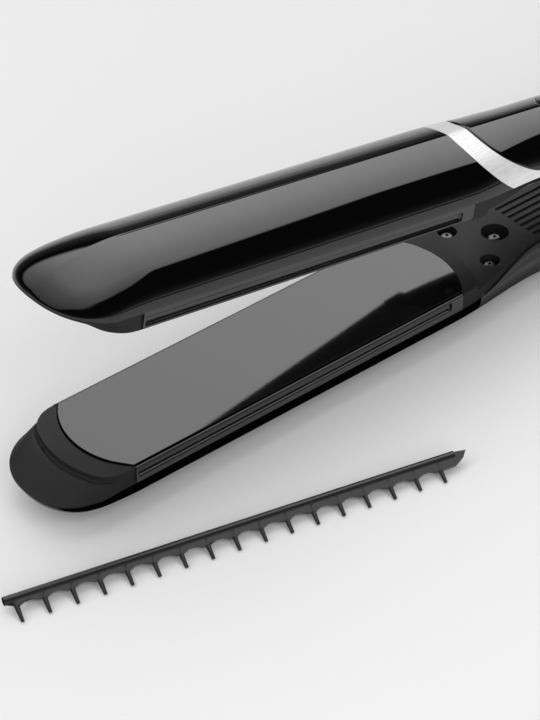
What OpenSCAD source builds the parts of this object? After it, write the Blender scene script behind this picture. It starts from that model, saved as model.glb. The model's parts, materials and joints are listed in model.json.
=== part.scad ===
// Hair straightener with two hinged arms, floating heated plates and a clip-on comb.
// The lower arm lies on the table, the upper arm stands open above it.
// X runs from the noses to the hinge, Y across the arms, Z up.
// The origin is on the table, under the middle of the lower heated plate.

/* [Heated plates] */
// Length of each plate over its rounded ends
plate_l = 120; // [112:1:122]
// Width of each plate
plate_w = 30.6; // [29:0.1:30.8]
// How far each rounded end bulges past the straight edges
plate_bulge = 6; // [4:0.5:7]
// Thickness of each plate
plate_t = 1; // [0.9:0.05:1]
// How far a plate can be pressed into its arm
plate_float = 0.6; // [0.4:0.05:0.6]

/* [Arms] */
// Width of an arm beside the plates
arm_w = 32.6; // [32.6:0.1:34]
// Height of the closing face above the table
arm_t = 16.4; // [16.2:0.1:16.6]
// Depth of an arm's crown below its closing face
crown_d = 16.9; // [16.7:0.1:17.3]
// Depth of the seam between the outer shell and the frame
seam_d = 5.3; // [5.2:0.1:5.6]
// Length of the rounded nose
nose_l = 16; // [14:0.1:18]
// Width of a handle cover
rim_w = 19.4; // [19:0.2:21]
// Width of a handle at its widest
grip_w = 28; // [27:0.2:29]
// Thickness of the outer shells
wall = 1.8; // [1.4:0.1:2]
// Angle between the open arms
open_angle = 9.3; // [6:0.1:12]

/* [Hinge] */
// Distance from the plate middle to the hinge pin
hinge_x = 190; // [190:1:200]
// Diameter of the hinge pin
pin_d = 4; // [3.5:0.5:5]
// Radius of the fork that carries the pin
fork_r = 14.5; // [14:0.1:15]

/* [Comb] */
// Number of comb teeth
teeth = 17; // [11:1:17]
// Distance between two teeth
tooth_pitch = 7.1; // [6.5:0.1:7.2]
// Height from the back of the comb to the tooth tips
comb_h = 7.3; // [6.8:0.1:8]
// Turn of the comb on the table
comb_turn = -13.8; // [-20:0.1:0]

/* [Controls] */
// Diameter of the plus and minus buttons
button_d = 7; // [6:0.5:7.5]
// How far a button travels
button_travel = 0.8; // [0.5:0.1:1]
// How far the lock slides
lock_travel = 5; // [4:0.5:5]

/* [Hidden] */
$fn = 48;
eps = 0.01;

// Arm pieces are drawn in arm coordinates: X and Y as above, and Z as the depth behind
// the closing face. in_lower() and in_upper() put them in place.
straight = plate_l / 2 - plate_bulge;      // plate edges are straight up to here
neck_end = 84;                             // the arm has its handle width from here
rim_end = 91;                              // the covers have their full taper from here
nose_x = -59.5;                            // the nose outline curves in from here
nose_fall_x = -50;                         // the crown falls towards the nose from here
nose_tip_x = nose_x - nose_l;
nose_tip_d = 7.4;                          // depth of the nose tip
half_w = arm_w / 2;
rim_h = rim_w / 2;
grip_h = grip_w / 2;
lip_d = 0.45;                              // depth of the lip around the plate
plate_d = 0.15;                            // depth of the plate's working face
cover_d = 1.8;                             // depth of the handle cover's face
split_x = 61;                              // front shell and handle shell meet here
handle_end = hinge_x - 15.5;               // handle shells end here
roll_h = 2.9;                              // the handle shell rolls in over this height
crease = 0.3;                              // sharpness of the crown line, 0 is round
crease_a = acos(crease / (1 + crease));
steps = 9;                                 // points from the seam to the crown
gap = 0.3;                                 // clearance around the floating plate
pocket = plate_w / 2 + gap;

function lerp(a, b, t) = a + (b - a) * t;
function ease(t) = let(c = min(max(t, 0), 1)) c * c * (3 - 2 * c);
function mirrored(pts) = concat(pts, [for (i = [len(pts) - 1:-1:0]) [pts[i][0], -pts[i][1]]]);

// Falls from 1 to 0 while t goes from 0 to 1, on a rounded curve of power p
function fall(t, p) = t <= 0 ? 1 : pow(max(0, 1 - pow(t, p)), 1 / p);

// Half width of the frame and the covers along the arm
function rim(x) =
    x < nose_x ? half_w * fall((nose_x - x) / nose_l, 2.4)
    : lerp(half_w, rim_h, ease((x - straight) / (rim_end - straight)));
// Half width of the outer shell along the arm
function side(x) =
    x < nose_x ? rim(x) : lerp(half_w, grip_h, ease((x - straight) / (neck_end - straight)));
// Depth of the seam and of the crown along the arm
function seam(x) =
    lerp(seam_d, nose_tip_d, pow(max(0, nose_x - 2.5 - x) / (nose_l - 2.5), 1.3));
function crown(x) =
    lerp(nose_tip_d, crown_d, fall((nose_fall_x - x) / (nose_fall_x - nose_tip_x), 1.7));

module in_lower() translate([0, 0, arm_t]) mirror([0, 0, 1]) children();
module in_upper()
    translate([hinge_x, 0, arm_t]) rotate([0, open_angle, 0]) translate([-hinge_x, 0, 0])
        children();

// Points of a shell's section from one seam over the crown to the other. half is the half
// width, base the depth of the seam, and height the rise from there to the crown.
function arc_pt(half, base, height, a) =
    [half * ((1 + crease) * cos(a) - crease), base + height * sin(a) / sin(crease_a)];
function arch(half, base, height) = [
    for (k = [0:2 * steps])
        let(a = crease_a * (k <= steps ? k : 2 * steps - k) / steps,
            p = arc_pt(half, base, height, a))
        [k <= steps ? p[0] : -p[0], p[1]]
];

// Joins rings of equal length into a closed wall. Each ring holds the outer points and
// then as many inner points.
module loft_wall(rings) {
    n = len(rings[0]);
    m = n / 2;
    last = len(rings) - 1;
    pts = [for (r = rings) each r];
    outer = [for (i = [0:last - 1]) for (j = [0:m - 2])
        each [[i * n + j, (i + 1) * n + j, (i + 1) * n + j + 1],
              [i * n + j, (i + 1) * n + j + 1, i * n + j + 1]]];
    inner = [for (i = [0:last - 1]) for (j = [m:n - 2])
        each [[i * n + j, i * n + j + 1, (i + 1) * n + j + 1],
              [i * n + j, (i + 1) * n + j + 1, (i + 1) * n + j]]];
    edges = [for (i = [0:last - 1]) each [
        [i * n, i * n + m, (i + 1) * n + m], [i * n, (i + 1) * n + m, (i + 1) * n],
        [i * n + m - 1, (i + 1) * n + m - 1, (i + 1) * n + n - 1],
        [i * n + m - 1, (i + 1) * n + n - 1, i * n + n - 1]]];
    caps = [for (j = [0:m - 2]) each [
        [j, j + 1, m + j + 1], [j, m + j + 1, m + j],
        [last * n + j, last * n + m + j + 1, last * n + j + 1],
        [last * n + j, last * n + m + j, last * n + m + j + 1]]];
    polyhedron(points = pts, faces = concat(outer, inner, edges, caps));
}

// Rings of the nose, from the tip back to where the crown starts to fall
nose_steps = 8;
nose_q = 86;
nose_xs = [for (i = [0:nose_steps - 1]) nose_x - nose_l * sin(nose_q * (1 - i / nose_steps))];
inner_l = nose_l - wall - 0.2;
function nose_ring(x) =
    let(h = rim(x), xi = nose_x + (x - nose_x) * (x < nose_x ? inner_l / nose_l : 1),
        inner_t = (nose_fall_x - xi) / (nose_fall_x - nose_x + inner_l),
        inner_crown = lerp(nose_tip_d, crown_d - wall, fall(inner_t, 1.7)))
    concat(
        [for (p = arch(h, seam(x), crown(x) - seam(x))) [x, p[0], p[1]]],
        [for (p = arch(h * (half_w - wall) / half_w, seam(xi), inner_crown - seam(xi)))
            [xi, p[0], p[1]]]);
function nose_rings() =
    [for (x = concat(nose_xs, [nose_x, lerp(nose_x, nose_fall_x, 0.5)])) nose_ring(x)];
// A ring of a front shell at x, the outer points first
function plain_ring(x) = concat(
    [for (p = arch(side(x), seam_d, crown_d - seam_d)) [x, p[0], p[1]]],
    [for (p = arch(side(x) - wall, seam_d, crown_d - wall - seam_d)) [x, p[0], p[1]]]);
// A ring whose x depends on how far round the section a point lies
function swept_ring(xs) = concat(
    [for (k = [0:2 * steps])
        let(x = xs[k], p = arch(side(x), seam_d, crown_d - seam_d)[k]) [x, p[0], p[1]]],
    [for (k = [0:2 * steps])
        let(x = xs[k], p = arch(side(x) - wall, seam_d, crown_d - wall - seam_d)[k])
        [x, p[0], p[1]]]);

// Where the silver band starts and ends, from the seam (w = 1) to the crown (w = 0)
function band_w(k) = 1 - (k <= steps ? k : 2 * steps - k) / steps;
function band_front(w) = 56.6 + 12.3 * pow(w, 2.2);
function band_rear(w) = 63.5 + 20.8 * pow(w, 2.31) + 35 * pow(w, 30);
function front_xs() = [for (k = [0:2 * steps]) band_front(band_w(k))];
function rear_xs() = [for (k = [0:2 * steps]) band_rear(band_w(k))];

module front_shell_wall()
    loft_wall(concat(nose_rings(), [for (x = [nose_fall_x, straight, 57.5, split_x - 0.05])
        plain_ring(x)]));

module upper_front_wall() {
    xs = front_xs();
    loft_wall(concat(nose_rings(), [plain_ring(nose_fall_x), plain_ring(48)],
        [for (t = [0.35, 0.7, 1])
            swept_ring([for (x = xs) lerp(48, x - 0.05, t)])]));
}

// A handle ring: the shell rolls in over the cover's edge before it turns to the crown
function handle_ring(x, xs = undef) =
    let(rh = 0.3 + (roll_h - 0.3) * ease((x - split_x) / 24),
        ro = rim(x) + 0.45, ri = rim(x) + 0.12, b = side(x),
        roll = [[ro, seam_d - rh], [lerp(ro, b, 0.707), seam_d - rh * 0.707]],
        bore = [[ri, seam_d - rh], [ri, seam_d + 0.02]],
        out = arch(b, seam_d, crown_d - seam_d),
        inn = arch(b - wall, seam_d + 0.04, crown_d - wall - seam_d - 0.04))
    concat(
        [for (p = roll) [x, p[0], p[1]]], [for (p = out) [x, p[0], p[1]]],
        [for (i = [1:-1:0]) [x, -roll[i][0], roll[i][1]]],
        [for (p = bore) [x, p[0], p[1]]], [for (p = inn) [x, p[0], p[1]]],
        [for (i = [1:-1:0]) [x, -bore[i][0], bore[i][1]]]);

handle_stations = [for (i = [0:6]) lerp(split_x, neck_end, i / 6)];

// Screw bosses inside a handle shell
screw_x = 71;
screw_y = 8.4;
screw_head_d = 4.2;
deep_x = 80.7;
deep_well_d = 7.6;
deep_head_d = 4.5;
rear_screw_x = hinge_x - 24;
screw_d = 2.5;
boss_d = 6.4;
side_boss_d = 4.8;
screw_spots = [[screw_x, screw_y], [screw_x, -screw_y], [deep_x, 0]];
bezel_x0 = 92;
bezel_x1 = 140;
bezel_w = 12;
button_x = [114, 124, 134];
window_x = 101;
window_l = 14;
window_w = 8;
flange_d = crown_d - 4.1;
switch_d = crown_d - 5.9;
board_x0 = 90;
board_d = 8;

module bosses() {
    for (p = screw_spots)
        translate([p[0], p[1], seam_d + 0.05]) difference() {
            cylinder(d = p[1] == 0 ? boss_d : side_boss_d, h = (p[1] == 0 ? 14.9 : 12) - seam_d);
            translate([0, 0, -eps]) cylinder(d = screw_d + 0.1, h = p[1] == 0 ? 6.2 : 4.7);
        }
}

// Plate outline: straight sides and two arcs
function bulge_r(w, b) = (w * w / 4 + b * b) / (2 * b);
module plate_shape(grow = 0) {
    w = plate_w + 2 * grow;
    r = bulge_r(plate_w, plate_bulge);
    square([2 * straight, w], center = true);
    for (s = [-1, 1]) intersection() {
        translate([s * (plate_l / 2 - r), 0]) circle(r + grow, $fn = 180);
        translate([s > 0 ? 0 : -plate_l, -w / 2]) square([plate_l, w]);
    }
}

// Plan outline of the nose, the frame or a cover between two x values
function nose_outline() = [for (i = [0:24])
    let(x = nose_x - nose_l * sin(nose_q * (1 - i / 24))) [x, rim(x)]];
module nose_plan(inset = 0) polygon(mirrored([
    for (p = concat(nose_outline(), [[-straight, half_w]])) [p[0], p[1] - inset]]));
module cover_plan(x0, x1, inset = 0) {
    xs = concat([for (i = [0:11]) lerp(x0, rim_end, i / 12)], [rim_end, x1]);
    polygon(mirrored([for (x = xs) [x, rim(x) - inset]]));
}

// Lip ring in front of and behind the plate, lip_w wide in the middle
lip_r = 28.4;
nose_lip_w = 5.8;
handle_lip_w = 4.4;
module lip_ring_shape(dir, lip_w) {
    difference() {
        intersection() {
            translate([dir * (plate_l / 2 + lip_w - lip_r), 0]) circle(lip_r, $fn = 180);
            translate([dir > 0 ? straight : -straight - 20, -half_w]) square([20, arm_w]);
        }
        plate_shape(gap);
    }
}

// Nose cap: a sloping tip, cut by the plate pocket, with a raised lip around the plate
tip_start_d = 1.3;
tip_edge_d = 5.9;
lip_fall = 0.7;
module across() translate([0, half_w, 0]) rotate([90, 0, 0]) linear_extrude(arm_w) children();
module nose_cap() {
    difference() {
        intersection() {
            linear_extrude(nose_tip_d + 1) nose_plan();
            across() polygon(concat(
                [for (t = [0:0.125:1])
                    [lerp(-straight, nose_tip_x, t), lerp(tip_start_d, tip_edge_d, sin(90 * t))]],
                [for (x = concat([nose_tip_x], nose_xs, [nose_x])) [x, seam(x) - 0.02]],
                [[-straight, seam_d - 0.02]]));
        }
        translate([0, 0, -1]) linear_extrude(20) plate_shape(gap);
    }
    // the lip slopes a little towards the tip
    intersection() {
        linear_extrude(seam_d) intersection() {
            lip_ring_shape(-1, nose_lip_w);
            nose_plan(0.4);
        }
        across() polygon([[-straight, lip_d], [-plate_l / 2 - nose_lip_w, lip_d + lip_fall],
            [-plate_l / 2 - nose_lip_w, tip_edge_d], [-straight, seam_d]]);
    }
}

// Plate frame: two side rails with a stepped comb slot each, joined below by a tray
slot_z = 1.75;
slot_h = 1.6;
slot_x0 = -50.4;
slot_x1 = 48.6;
ledge_d = plate_d + plate_t + plate_float + 0.05;
ledge_w = 1.2;
deck_d = 4.9;
tray_w = 20.8;
tray_floor_d = 9.5;
// Half of the frame's section, from the middle of the tray round to its floor
frame_half = [
    [tray_w / 2, tray_floor_d + 1], [tray_w / 2, seam_d + 0.9],
    [half_w - wall - 0.4, seam_d + 0.9], [half_w - wall - 0.1, seam_d], [half_w, seam_d],
    [half_w, slot_z - 0.1], [pocket + 0.32, lip_d + 0.02], [pocket + 0.12, lip_d],
    [pocket, lip_d + 0.25], [pocket, ledge_d], [pocket - ledge_w, ledge_d],
    [pocket - ledge_w, deck_d], [tray_w / 2 - 1.2, deck_d], [tray_w / 2 - 1.2, tray_floor_d]];
// A cut into both sides of the arm with round ends
module side_slot(x0, x1, z0, h, depth)
    for (s = [-1, 1]) translate([0, s * half_w, z0 + h / 2]) rotate([90, 0, 0])
        linear_extrude(2 * depth, center = true) stadium(x0, x1, h);
module plate_frame() {
    difference() {
        translate([-straight, 0, 0]) rotate([90, 0, 90]) linear_extrude(2 * straight)
            polygon(concat(frame_half,
                [for (i = [len(frame_half) - 1:-1:0]) [-frame_half[i][0], frame_half[i][1]]]));
        side_slot(slot_x0, slot_x1, slot_z, slot_h, 0.3);
        side_slot(slot_x0 + 0.3, slot_x1 - 0.3, slot_z + 0.7, slot_h - 0.8, 0.9);
        // windows in the tray floor let the heat sensor's leads out
        for (x = [-24, 24]) translate([x, 0, tray_floor_d - 1]) cylinder(d = 5, h = 4);
    }
}

// Handle cover: lip ring, face with screw wells, lengthwise ribs, side walls
rib_start = 88;
rib_end = hinge_x - 50;
rib_pitch = 2.4;
rear_screw_d = 3.2;
lock_x = hinge_x - 43;
lock_slot = [9.6, 6.6];
cover_t = 2;
under_d = cover_d + cover_t + 0.05;
module handle_cover() {
    difference() {
        union() {
            children();
            translate([0, 0, cover_d]) linear_extrude(cover_t)
                cover_plan(straight + 0.1, handle_end);
            translate([0, 0, cover_d]) linear_extrude(seam_d - cover_d) difference() {
                cover_plan(straight + 0.1, handle_end);
                cover_plan(straight + 0.1, handle_end, 1.5);
            }
            translate([0, 0, lip_d]) linear_extrude(seam_d - lip_d) intersection() {
                lip_ring_shape(1, handle_lip_w);
                cover_plan(straight + 0.1, 80);
            }
            for (p = screw_spots) translate([p[0], p[1], cover_d])
                cylinder(d = p[1] == 0 ? deep_well_d + 2 : 7.4, h = seam_d - cover_d);
        }
        translate([0, 0, -1]) linear_extrude(20) plate_shape(gap);
        for (s = [-1, 1]) translate([screw_x, s * screw_y, 0]) {
            cylinder(d = 5.4, h = screw_head_d);
            cylinder(d = screw_d + 0.6, h = 20);
        }
        translate([deep_x, 0, 0]) {
            cylinder(d = deep_well_d, h = deep_head_d);
            cylinder(d = screw_d + 0.6, h = 20);
        }
        for (i = [-3:3]) translate([rib_start, i * rib_pitch - 0.6, 0])
            cube([rib_end - rib_start, 1.2, cover_d + 0.5]);
        translate([rear_screw_x, 0, 0]) {
            cylinder(d = 5.4, h = rear_screw_d);
            cylinder(d = screw_d + 0.6, h = 20);
        }
        // slot for the hook of the lock
        translate([lock_x - 0.8, -lock_slot[1] / 2, -1]) cube([lock_slot[0], lock_slot[1], 5]);
    }
}

// Rounded skirt of the upper cover, from its rim out to the shell's seam
module cover_skirt() {
    for (s = [0, 1]) mirror([0, s, 0]) loft_wall([for (x = concat(handle_stations, [handle_end]))
        let(rh = 0.3 + (roll_h - 0.3) * ease((x - split_x) / 24), r = rim(x), b = side(x) - 0.02)
            [[x, r, seam_d - rh], [x, lerp(r, b, 0.707), seam_d - rh * 0.707], [x, b, seam_d - 0.02],
             [x, r - 1, seam_d - rh], [x, r - 1, seam_d - rh * 0.6], [x, r - 1, seam_d - 0.02]]]);
}

// Pan head screw, the head at depth d
module pan_screw(x, y, d, length) translate([x, y, d]) {
    difference() {
        rotate_extrude() polygon([[0, -1.3], [1.4, -1.15], [2.2, -0.6], [2.4, 0], [0, 0]]);
        for (a = [0, 90]) rotate(a) cube([2.6, 0.6, 1.7], center = true);
        translate([0, 0, -1.3]) cube([0.9, 0.9, 1.8], center = true);
    }
    cylinder(d = screw_d, h = length);
}
module arm_screws() {
    for (s = [-1, 1]) pan_screw(screw_x, s * screw_y, screw_head_d, 5.5);
    pan_screw(deep_x, 0, deep_head_d, 7);
    pan_screw(rear_screw_x, 0, rear_screw_d, 5);
}

// Heated plate with two clip rails below
module plate() {
    translate([0, 0, plate_d]) linear_extrude(plate_t) plate_shape();
    for (s = [-1, 1]) translate([-48, s * 8 - 0.6, plate_d + plate_t - eps])
        cube([96, 1.2, 2]);
}
heater_d = plate_d + plate_t;
module heater() {
    translate([-44, -7, heater_d]) cube([88, 14, 1.95]);
    for (s = [-1, 1]) translate([44, s * 4, heater_d + 1]) rotate([0, 90, 0])
        cylinder(d = 1.2, h = 5.5);
}
carrier_d = heater_d + 2;
fuse_x = 12;
module plate_carrier() {
    difference() {
        translate([-50, -8.6, carrier_d]) cube([100, 17.2, 1.6]);
        translate([fuse_x - 7.5, -2, carrier_d - 1]) cube([15, 4, 4]);
    }
    for (x = [-36, 36]) translate([x, 0, carrier_d + 1.6 - eps]) cylinder(d = 3, h = 1.2);
}
cushion_d = carrier_d + 1.6;
module plate_cushions()
    for (x = [-36, 36]) translate([x, 0, cushion_d]) difference() {
        cylinder(d = 7, h = tray_floor_d - cushion_d);
        translate([0, 0, -1]) cylinder(d = 3.3, h = 2.5 + 1);
    }
module thermal_fuse()
    translate([fuse_x, 0, carrier_d + 1.25]) rotate([0, 90, 0]) {
        translate([0, 0, -5]) cylinder(d = 2.4, h = 10);
        translate([0, 0, -7]) cylinder(d = 0.8, h = 14);
    }

// Two insulated leads that run through the handle to the heater
module heater_leads(x1)
    for (s = [-1, 1]) translate([51, s * 3.95, 8]) rotate([0, 90, 0]) cylinder(d = 1.4, h = x1 - 51);

// Hinge: a fork on the lower arm, a tongue on the upper arm
tongue_w = 15.6;
fork_w = 26.8;
barrel_r = 8;
spring_w = 6.6;
tail_x = hinge_x + 18;
hood_end = hinge_x - 9;
clamp_x = handle_end - 16.5;
function rounded(c) = sign(c) * pow(abs(c), 0.7);
module fork_section() polygon([for (i = [0:35])
    [grip_h * rounded(cos(i * 10)), (crown_d - 0.8) * rounded(sin(i * 10))]]);
module hinge_disc(r, w) translate([hinge_x, w / 2, 0]) rotate([90, 0, 0])
    cylinder(r = r, h = w, $fn = 96);
module fork_body() {
    difference() {
        union() {
            intersection() {
                union() {
                    hinge_disc(fork_r, fork_w);
                    translate([handle_end + 0.5, -fork_w / 2, 0.6])
                        cube([hinge_x - handle_end, fork_w, crown_d - 1.4]);
                }
                translate([clamp_x, 0, 0]) rotate([90, 0, 90]) linear_extrude(60) fork_section();
            }
            translate([tail_x - 9, 0, 0]) rotate([0, 90, 0]) cylinder(d1 = 21, d2 = 17, h = 9);
            translate([clamp_x, -7, under_d]) cube([18, 14, 8.5 - under_d]);
        }
        // room for the barrel, and for the tongue above it
        hinge_disc(barrel_r + 0.6, tongue_w + 0.8);
        translate([hinge_x - 36, -tongue_w / 2 - 0.4, -20])
            cube([37, tongue_w + 0.8, 20.6]);
        hinge_disc(pin_d / 2, 40);
        // stepped seat of the cord swivel
        translate([hinge_x, 0, 0]) rotate([0, 90, 0]) cylinder(d = 9.1, h = 30);
        translate([hinge_x, 0, 0]) rotate([0, 90, 0]) cylinder(d = 12.2, h = 13.6);
        translate([rear_screw_x, 0, 0]) cylinder(d = screw_d + 0.1, h = 20);
    }
}
module tongue_body() {
    difference() {
        union() {
            hinge_disc(barrel_r, tongue_w);
            translate([0, tongue_w / 2, 0]) rotate([90, 0, 0]) linear_extrude(tongue_w)
                polygon([[handle_end - 2.5, under_d], [handle_end + 0.4, under_d],
                    [handle_end + 1, 1.2], [hinge_x, 1.2], [hinge_x, barrel_r],
                    [handle_end - 2.5, barrel_r]]);
            translate([clamp_x, -7, under_d]) cube([16, 14, barrel_r - under_d]);
        }
        hinge_disc(pin_d / 2 + 0.05, 40);
        // pocket of the spring
        hinge_disc(barrel_r + 1, spring_w);
        translate([rear_screw_x, 0, 0]) cylinder(d = screw_d + 0.1, h = 20);
    }
}

// Helical torsion spring around the pin with two straight legs, one unbroken tube
coil_r = 4.2;
wire_r = 0.55;
coil_turns = 4;
coil_sides = 6;
coil_seg = 16;
coil_pitch = 1.3;
leg_l = 6;
module spring_coil() {
    total = coil_turns * coil_seg;
    // each station: angle, height along the pin, shift along the leg
    stations = concat([[0, 0, -leg_l]],
        [for (i = [0:total]) [360 * i / coil_seg, coil_pitch * i / coil_seg, 0]],
        [[360 * coil_turns, coil_pitch * coil_turns, leg_l]]);
    pts = [for (st = stations) for (j = [0:coil_sides - 1])
        let(b = 360 * j / coil_sides, r = coil_r + wire_r * cos(b), a = st[0])
            [r * cos(a), st[1] + wire_r * sin(b), r * sin(a) + st[2]]];
    n = coil_sides;
    last = total + 2;
    polyhedron(points = pts, faces = concat(
        [for (i = [0:last - 1]) for (j = [0:n - 1]) let(k = (j + 1) % n)
            each [[i * n + j, i * n + k, (i + 1) * n + k],
                  [i * n + j, (i + 1) * n + k, (i + 1) * n + j]]],
        [[for (j = [n - 1:-1:0]) j], [for (j = [0:n - 1]) last * n + j]]));
}

// Comb: a bead along the back, a scalloped blade, round tapered teeth, a clip foot and a leaf tip
comb_l = (teeth - 1) * tooth_pitch;
bead_d = 2.2;
blade_t = 1.2;
foot_l = 3.3;
comb_tilt = 27.5;
module tooth() rotate([-90, 0, 0]) cylinder(d1 = 1.5, d2 = 0.9, h = comb_h - 1.6, $fn = 16);
function scallop(i, t) = lerp(2.5, 3.4, i / (teeth - 1)) + 0.55 * cos(360 * t);
module comb_body() {
    // bead, in the comb's own axes: X along, Y from the back to the tips, Z up
    translate([-2.6, bead_d / 2, 0]) rotate([0, 90, 0]) cylinder(d = bead_d, h = comb_l + 7.6);
    translate([-2.2, 0.4, -blade_t / 2]) linear_extrude(blade_t) polygon(concat(
        [[0, 0]], [[comb_l + 4.4 + 2.2, 0]],
        [[comb_l + 10.6, 0.5], [comb_l + 9.2, 2.2], [comb_l + 6.6, 3.6], [comb_l + 4, 3.6]],
        [for (i = [teeth - 2:-1:0]) for (t = [0.85, 0.6, 0.35, 0.1])
            [2.2 + (i + t) * tooth_pitch, scallop(i + t, t)]],
        [[0, 1.6]]));
    for (i = [0:teeth - 1]) translate([i * tooth_pitch, 1.6, 0]) tooth();
    // clip foot below the back
    translate([3, 0.5, -foot_l]) cube([comb_l - 6, 1.2, foot_l]);
}
comb_at = [-97.9, -28.3, 0];
module comb_place()
    translate(comb_at) rotate([0, 0, comb_turn]) rotate([comb_tilt, 0, 0]) mirror([0, 1, 0])
        translate([0, -comb_h, 0.45]) children();

// Lower arm
module lower_front_shell() color([0.02, 0.02, 0.02]) in_lower() difference() {
    front_shell_wall();
    translate([-80, -20, arm_t]) cube([160, 40, 5]);
}
module lower_handle_shell() color([0.1, 0.1, 0.1]) in_lower() difference() {
    union() {
        loft_wall([for (x = concat(handle_stations, [handle_end])) handle_ring(x)]);
        bosses();
    }
    translate([50, -20, arm_t]) cube([150, 40, 5]);
}
module lower_nose_cap() color([0.12, 0.12, 0.12]) in_lower() nose_cap();
module lower_plate_frame() color([0.05, 0.05, 0.05]) in_lower() plate_frame();
module lower_handle_cover() color([0.12, 0.12, 0.12]) in_lower() handle_cover();
module lower_plate() color([0.46, 0.46, 0.47]) in_lower() plate();
module lower_heater() color([0.9, 0.88, 0.8]) in_lower() heater();
module lower_plate_carrier() color([0.25, 0.1, 0.08]) in_lower() plate_carrier();
module lower_plate_cushions() color([0.7, 0.25, 0.15]) in_lower() plate_cushions();
module lower_thermal_fuse() color([0.75, 0.75, 0.78]) in_lower() thermal_fuse();
module lower_screws() color([0.75, 0.75, 0.76]) in_lower() arm_screws();
module lower_heater_leads() color([0.8, 0.75, 0.6]) in_lower() heater_leads(clamp_x - 4);

// Upper arm
module upper_front_shell() color([0.02, 0.02, 0.02]) in_upper() upper_front_wall();
module trim_band() color([0.8, 0.8, 0.8]) in_upper() {
    front = front_xs();
    rear = rear_xs();
    loft_wall([for (i = [0:5]) swept_ring([for (k = [0:2 * steps])
        lerp(front[k] + 0.02, rear[k] - 0.02, i / 5)])]);
}
module upper_handle_shell() color([0.03, 0.03, 0.03]) in_upper() {
    rear = rear_xs();
    difference() {
        union() {
            loft_wall([for (i = [0:6]) swept_ring([for (k = [0:2 * steps])
                lerp(rear[k] + 0.05, hood_end, i / 6)])]);
            bosses();
            // end wall around the tongue
            translate([handle_end - 2.1, 0, 0]) rotate([90, 0, 90]) linear_extrude(1.8) difference() {
                polygon(arch(grip_h - 1, seam_d + 0.1, crown_d - seam_d - 1));
                translate([-tongue_w / 2 - 0.1, 0]) square([tongue_w + 0.2, barrel_r + 0.1]);
            }
        }
        // the end follows the hinge disc
        hinge_disc(fork_r + 0.8, 40);
        linear_extrude(30) stadium(bezel_x0 - 0.1, bezel_x1 + 0.1, bezel_w + 0.2);
        translate([lock_x - 0.5, -2.8, seam_d + 1]) cube([9, 5.6, 20]);
    }
}
module upper_nose_cap() color([0.12, 0.12, 0.12]) in_upper() nose_cap();
module upper_plate_frame() color([0.12, 0.12, 0.12]) in_upper() plate_frame();
module upper_handle_cover() color([0.12, 0.12, 0.12]) in_upper() handle_cover() {
    cover_skirt();
    // posts of the circuit board
    for (x = [95, 142]) for (y = [-7, 7]) translate([x, y, 3]) cylinder(d = 3, h = board_d - 3);
}
module upper_plate() color([0.46, 0.46, 0.47]) in_upper() plate();
module upper_heater() color([0.9, 0.88, 0.8]) in_upper() heater();
module upper_plate_carrier() color([0.25, 0.1, 0.08]) in_upper() plate_carrier();
module upper_plate_cushions() color([0.7, 0.25, 0.15]) in_upper() plate_cushions();
module upper_thermal_fuse() color([0.75, 0.75, 0.78]) in_upper() thermal_fuse();
module upper_screws() color([0.75, 0.75, 0.76]) in_upper() arm_screws();
module upper_heater_leads() color([0.8, 0.75, 0.6]) in_upper() heater_leads(board_x0 - 0.5);

module hinge_fork() color([0.1, 0.1, 0.1]) in_lower() fork_body();
module hinge_tongue() color([0.1, 0.1, 0.1]) in_upper() tongue_body();
module hinge_pin() color([0.7, 0.7, 0.7])
    translate([hinge_x, fork_w / 2, arm_t]) rotate([90, 0, 0]) cylinder(d = pin_d, h = fork_w);
module hinge_spring() color([0.6, 0.6, 0.62])
    translate([hinge_x, -coil_pitch * coil_turns / 2, arm_t]) spring_coil();
module cord_swivel() color([0.08, 0.08, 0.08]) translate([0, 0, arm_t]) rotate([0, 90, 0])
    difference() {
        union() {
            translate([0, 0, hinge_x + 10]) cylinder(d = 12, h = 3.4);
            translate([0, 0, hinge_x + 10]) cylinder(d = 9, h = tail_x - hinge_x - 9);
            translate([0, 0, tail_x + 0.4]) cylinder(d1 = 13, d2 = 10.4, h = 5);
        }
        translate([0, 0, hinge_x]) cylinder(d = 6.2, h = 40);
    }

// Controls on the upper handle
module stadium(x0, x1, w) {
    translate([x0 + w / 2, 0]) circle(w / 2);
    translate([x1 - w / 2, 0]) circle(w / 2);
    translate([x0 + w / 2, -w / 2]) square([x1 - x0 - w, w]);
}
// Bar along the handle between two surfaces, given as offsets from the shell's surface
module crown_bar(x0, x1, low, top) {
    outer = arch(grip_h + top, seam_d, crown_d - seam_d + top);
    inner = arch(grip_h + low, seam_d, crown_d - seam_d + low);
    translate([x0, 0, 0]) rotate([90, 0, 90]) linear_extrude(x1 - x0)
        polygon(concat(outer, [for (i = [2 * steps:-1:0]) inner[i]]));
}
module control_bezel() color([0.02, 0.02, 0.02]) in_upper() difference() {
    union() {
        intersection() {
            crown_bar(bezel_x0 - 1, bezel_x1 + 1, -wall - 0.6, 0.25);
            linear_extrude(20) stadium(bezel_x0, bezel_x1, bezel_w);
        }
        // flange below the shell
        intersection() {
            crown_bar(bezel_x0 - 3, bezel_x1 + 3, -wall - 1.3, -wall - 0.1);
            linear_extrude(20) stadium(bezel_x0 - 1.2, bezel_x1 + 1.2, bezel_w + 2.4);
        }
    }
    for (x = button_x) translate([x, 0, 0]) {
        cylinder(d = button_d + 0.5, h = 20);
        cylinder(d = 9.2, h = flange_d + 1.1);
    }
    // seat and light opening of the display window
    intersection() {
        crown_bar(window_x - window_l / 2 - 0.1, window_x + window_l / 2 + 0.1, -0.85, 2);
        translate([60, -window_w / 2 - 0.1, 0]) cube([100, window_w + 0.2, 30]);
    }
    translate([window_x - 6, -3, 5]) cube([12, 6, 20]);
}
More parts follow.
